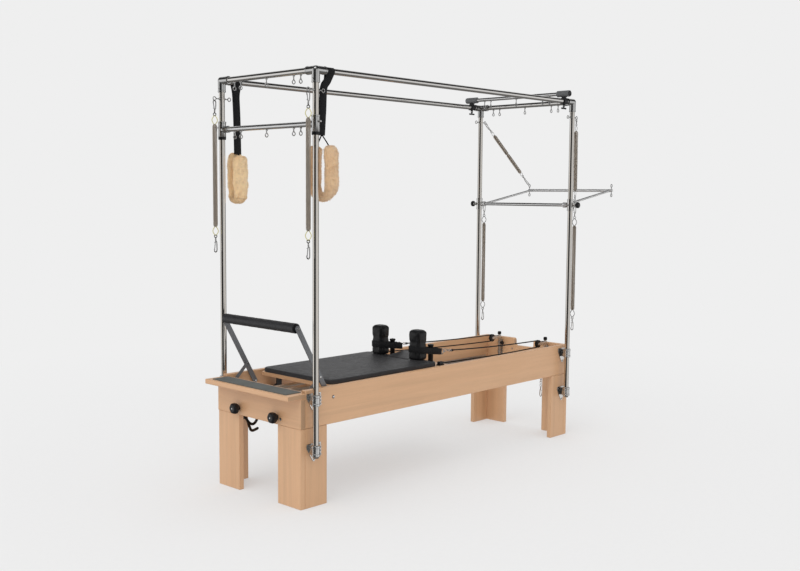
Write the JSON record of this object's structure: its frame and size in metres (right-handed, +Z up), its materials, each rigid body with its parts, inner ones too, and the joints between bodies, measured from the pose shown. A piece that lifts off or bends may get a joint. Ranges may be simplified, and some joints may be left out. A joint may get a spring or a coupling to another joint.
{
  "type": "pilates reformer",
  "caption": "Wooden reformer bed with a sprung sliding carriage, footbar, ropes and pulleys, under a tubular tower with a push-through bar, springs and hanging loops.",
  "frame": {"origin": "on the floor, below the middle of the overall box", "axes": "+X along the bed from the foot end, with its footbar and standing platform, to the head end; +Y across to the far side; +Z up"},
  "size_m": [3.0012, 0.92, 2.3233],
  "materials": {
    "beech": "satin clear lacquer over solid wood",
    "aluminium": "natural anodised",
    "chrome_tube": "polished",
    "brushed_steel": "satin",
    "grey_steel": "dark grey powder coat",
    "black_steel": "black powder coat",
    "spring_steel": "oiled spring wire, bronze tint",
    "black_plastic": "moulded, fine texture",
    "grey_rubber": "matt",
    "black_vinyl": "fine grained upholstery vinyl",
    "black_foam": "smooth foam grip",
    "black_webbing": "woven webbing",
    "black_rope": "braided cord",
    "sheepskin": "long wool pile"
  },
  "bodies": {
    "frame": {"foot_end_board": "beech", "head_end_board": "beech", "standing_platform": "beech", "platform_mat": "grey_rubber", "spring_bar": "black_steel", "rail_near": "beech", "rail_far": "beech", "track_near": "aluminium", "track_far": "aluminium", "leg_foot_near": "beech", "leg_foot_far": "beech", "leg_head_near": "beech", "leg_head_far": "beech", "upright_foot_near": "chrome_tube", "upright_foot_far": "chrome_tube", "upright_head_near": "chrome_tube", "upright_head_far": "chrome_tube", "long_tube_near": "chrome_tube", "long_tube_far": "chrome_tube", "foot_cross_tube": "chrome_tube", "head_cross_tube": "chrome_tube", "riser_near": "brushed_steel", "riser_far": "brushed_steel", "rope_near": "black_rope", "rope_far": "black_rope"},
    "carriage": {"carriage_deck": "beech", "carriage_pad": "black_vinyl", "carriage_springs": "spring_steel", "shoulder_rest_near": "black_vinyl", "shoulder_rest_far": "black_vinyl", "hand_strap_near": "black_webbing", "hand_strap_far": "black_webbing"},
    "headrest": {"headrest_pad": "black_vinyl"},
    "footbar": {"footbar_frame": "grey_steel", "footbar_roller": "black_foam"},
    "footbar_strut": {"footbar_strut": "grey_steel"},
    "low_cross_bar": {"low_cross_bar": "brushed_steel"},
    "slider_bar": {"slider_bar": "brushed_steel"},
    "ptb_carrier": {"ptb_carrier": "brushed_steel", "upper_spring_near": "spring_steel", "upper_spring_far": "spring_steel"},
    "ptb_bar": {"ptb_bar": "brushed_steel"},
    "wheel_front_near": {"wheel_front_near": "grey_rubber"},
    "wheel_front_far": {"wheel_front_far": "grey_rubber"},
    "wheel_back_near": {"wheel_back_near": "grey_rubber"},
    "wheel_back_far": {"wheel_back_far": "grey_rubber"},
    "end_knob_near": {"end_knob_near": "black_plastic"},
    "end_knob_far": {"end_knob_far": "black_plastic"},
    "pulley_near": {"pulley_near": "black_plastic"},
    "pulley_far": {"pulley_far": "black_plastic"},
    "slider_knob_near": {"slider_knob_near": "black_plastic"},
    "slider_knob_far": {"slider_knob_far": "black_plastic"},
    "ptb_knob_near": {"ptb_knob_near": "black_plastic"},
    "ptb_knob_far": {"ptb_knob_far": "black_plastic"},
    "foot_spring_near": {"foot_spring_near": "spring_steel"},
    "foot_spring_far": {"foot_spring_far": "spring_steel"},
    "head_spring_near": {"head_spring_near": "spring_steel"},
    "head_spring_far": {"head_spring_far": "spring_steel"},
    "fuzzy_loop_near": {"fuzzy_loop_near": "sheepskin"},
    "fuzzy_loop_far": {"fuzzy_loop_far": "sheepskin"}
  },
  "joints": [
    {"name": "carriage_slide", "type": "slide", "parent": "frame", "child": "carriage", "axis": [1, 0, 0], "range_m": [0, 0.84], "stiffness_N_per_m": 110, "springref_m": -0.06, "deforming": ["rope_near", "rope_far", "carriage_springs"]},
    {"name": "wheel_front_near_spin", "type": "hinge", "parent": "carriage", "child": "wheel_front_near", "pos_m": [-1.0405, -0.2745, 0.5003], "axis": [0, 1, 0], "range_deg": [-5, 1385]},
    {"name": "wheel_front_far_spin", "type": "hinge", "parent": "carriage", "child": "wheel_front_far", "pos_m": [-1.0405, 0.2745, 0.5003], "axis": [0, 1, 0], "range_deg": [-5, 1385]},
    {"name": "wheel_back_near_spin", "type": "hinge", "parent": "carriage", "child": "wheel_back_near", "pos_m": [-0.2905, -0.2745, 0.5003], "axis": [0, 1, 0], "range_deg": [-5, 1385]},
    {"name": "wheel_back_far_spin", "type": "hinge", "parent": "carriage", "child": "wheel_back_far", "pos_m": [-0.2905, 0.2745, 0.5003], "axis": [0, 1, 0], "range_deg": [-5, 1385]},
    {"name": "headrest_tilt", "type": "hinge", "parent": "carriage", "child": "headrest", "pos_m": [-0.3425, 0, 0.6173], "axis": [0, -1, 0], "range_deg": [-5.5, 24]},
    {"name": "footbar_tilt", "type": "hinge", "parent": "frame", "child": "footbar", "pos_m": [-1.1835, 0, 0.567], "axis": [0, 1, 0], "range_deg": [0, 30]},
    {"name": "footbar_strut_tilt", "type": "hinge", "parent": "footbar", "child": "footbar_strut", "pos_m": [-1.2445, 0, 0.675], "axis": [0, 1, 0], "range_deg": [-41, 0]},
    {"name": "low_cross_bar_slide", "type": "slide", "parent": "frame", "child": "low_cross_bar", "axis": [0, 0, 1], "range_m": [-0.9, 0.1]},
    {"name": "slider_bar_slide", "type": "slide", "parent": "frame", "child": "slider_bar", "axis": [1, 0, 0], "range_m": [-1.85, 0.015]},
    {"name": "ptb_carrier_slide", "type": "slide", "parent": "frame", "child": "ptb_carrier", "axis": [0, 0, 1], "range_m": [-0.25, 0.05], "deforming": ["upper_spring_near", "upper_spring_far"]},
    {"name": "ptb_bar_tilt", "type": "hinge", "parent": "ptb_carrier", "child": "ptb_bar", "pos_m": [0.9305, 0, 1.575], "axis": [0, -1, 0], "range_deg": [-80, 15], "stiffness_Nm_per_rad": 14, "springref_deg": 22.92, "deforming": ["upper_spring_far"]},
    {"name": "slider_knob_near_turn", "type": "hinge", "parent": "slider_bar", "child": "slider_knob_near", "pos_m": [0.8295, -0.39, 2.238], "axis": [0, 0, 1], "continuous": true},
    {"name": "slider_knob_far_turn", "type": "hinge", "parent": "slider_bar", "child": "slider_knob_far", "pos_m": [0.8295, 0.39, 2.238], "axis": [0, 0, 1], "continuous": true},
    {"name": "ptb_knob_near_turn", "type": "hinge", "parent": "ptb_carrier", "child": "ptb_knob_near", "pos_m": [0.9305, -0.4069, 1.575], "axis": [0, 1, 0], "continuous": true},
    {"name": "ptb_knob_far_turn", "type": "hinge", "parent": "ptb_carrier", "child": "ptb_knob_far", "pos_m": [0.9305, 0.4069, 1.575], "axis": [0, 1, 0], "continuous": true},
    {"name": "end_knob_near_turn", "type": "hinge", "parent": "frame", "child": "end_knob_near", "pos_m": [-1.4135, -0.163, 0.464], "axis": [1, 0, 0], "continuous": true},
    {"name": "end_knob_far_turn", "type": "hinge", "parent": "frame", "child": "end_knob_far", "pos_m": [-1.4135, 0.163, 0.464], "axis": [1, 0, 0], "continuous": true},
    {"name": "pulley_near_spin", "type": "hinge", "parent": "frame", "child": "pulley_near", "pos_m": [0.8595, -0.2, 0.624], "axis": [0, 1, 0], "continuous": true},
    {"name": "pulley_far_spin", "type": "hinge", "parent": "frame", "child": "pulley_far", "pos_m": [0.8595, 0.2, 0.624], "axis": [0, 1, 0], "continuous": true},
    {"name": "foot_spring_near_swing", "type": "hinge", "parent": "frame", "child": "foot_spring_near", "pos_m": [-1.3935, -0.39, 2.155], "axis": [0, 1, 0], "range_deg": [-1, 30]},
    {"name": "foot_spring_far_swing", "type": "hinge", "parent": "frame", "child": "foot_spring_far", "pos_m": [-1.3935, 0.39, 2.155], "axis": [0, 1, 0], "range_deg": [-1, 30]},
    {"name": "head_spring_near_swing", "type": "hinge", "parent": "ptb_carrier", "child": "head_spring_near", "pos_m": [0.9855, -0.39, 1.575], "axis": [0, -1, 0], "range_deg": [-1, 30]},
    {"name": "head_spring_far_swing", "type": "hinge", "parent": "ptb_carrier", "child": "head_spring_far", "pos_m": [0.9855, 0.39, 1.575], "axis": [0, -1, 0], "range_deg": [-1, 30]},
    {"name": "fuzzy_loop_near_swing", "type": "hinge", "parent": "frame", "child": "fuzzy_loop_near", "pos_m": [-1.2535, -0.39, 2.255], "axis": [1, 0, 0], "range_deg": [-2, 30]},
    {"name": "fuzzy_loop_far_swing", "type": "hinge", "parent": "frame", "child": "fuzzy_loop_far", "pos_m": [-1.247, 0.39, 2.255], "axis": [1, 0, 0], "range_deg": [-30, 30]}
  ],
  "couplings": [
    {"joint": "wheel_front_near_spin", "follows": "carriage_slide", "rad_per_m": 28.571},
    {"joint": "wheel_front_far_spin", "follows": "carriage_slide", "rad_per_m": 28.571},
    {"joint": "wheel_back_near_spin", "follows": "carriage_slide", "rad_per_m": 28.571},
    {"joint": "wheel_back_far_spin", "follows": "carriage_slide", "rad_per_m": 28.571},
    {"joint": "footbar_strut_tilt", "follows": "footbar_tilt", "ratio": -1.34}
  ]
}
